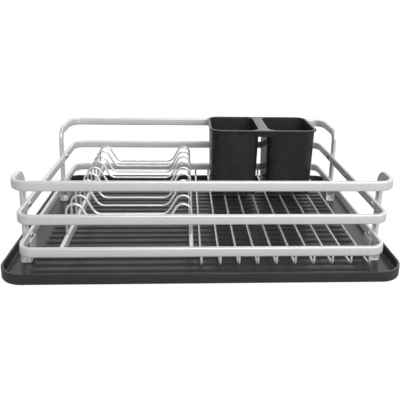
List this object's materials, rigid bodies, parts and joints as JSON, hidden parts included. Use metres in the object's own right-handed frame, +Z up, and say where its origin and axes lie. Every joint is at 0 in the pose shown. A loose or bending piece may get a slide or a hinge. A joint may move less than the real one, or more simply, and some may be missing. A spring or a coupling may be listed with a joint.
{
  "type": "dish drying rack",
  "caption": "Dish drying rack: a bent-bar frame with plate wires and base wires, standing in a ribbed drip tray, with a lift-out two-compartment cutlery cup.",
  "frame": {"origin": "middle of the drip tray's underside, on the worktop", "axes": "+X to the right along the long side, -Y towards the person at the sink, +Z up"},
  "size_m": [0.48, 0.33, 0.1268],
  "materials": {
    "bar_metal": "satin",
    "wire_metal": "polished",
    "rivet_metal": "satin",
    "tray_plastic": "fine grain, satin",
    "cup_plastic": "fine grain, satin"
  },
  "bodies": {
    "tray": {"drip_tray": "tray_plastic"},
    "rack": {"lower_ring": "bar_metal", "middle_ring": "bar_metal", "front_hoop": "bar_metal", "rear_hoop": "bar_metal", "foot_front_left": "bar_metal", "foot_front_right": "bar_metal", "foot_rear_left": "bar_metal", "foot_rear_right": "bar_metal", "crossbar_left": "bar_metal", "crossbar_right": "bar_metal", "post_rivets": "rivet_metal", "seam_pins": "rivet_metal", "plate_wire_1": "wire_metal", "plate_wire_2": "wire_metal", "plate_wire_3": "wire_metal", "plate_wire_4": "wire_metal", "plate_wire_5": "wire_metal", "plate_wire_6": "wire_metal", "plate_wire_7": "wire_metal", "plate_wire_8": "wire_metal", "plate_wire_9": "wire_metal", "plate_wire_10": "wire_metal", "base_wire_1": "wire_metal", "base_wire_2": "wire_metal", "base_wire_3": "wire_metal", "base_wire_4": "wire_metal", "base_wire_5": "wire_metal", "base_wire_6": "wire_metal", "base_wire_7": "wire_metal", "base_wire_8": "wire_metal", "base_wire_9": "wire_metal", "base_wire_10": "wire_metal"},
    "cup": {"cutlery_cup": "cup_plastic"}
  },
  "joints": [
    {"name": "rack_lift", "type": "slide", "parent": "tray", "child": "rack", "axis": [0, 0, 1], "range_m": [0, 0.05]},
    {"name": "cup_lift", "type": "slide", "parent": "rack", "child": "cup", "axis": [0, 0, 1], "range_m": [0, 0.115]}
  ]
}
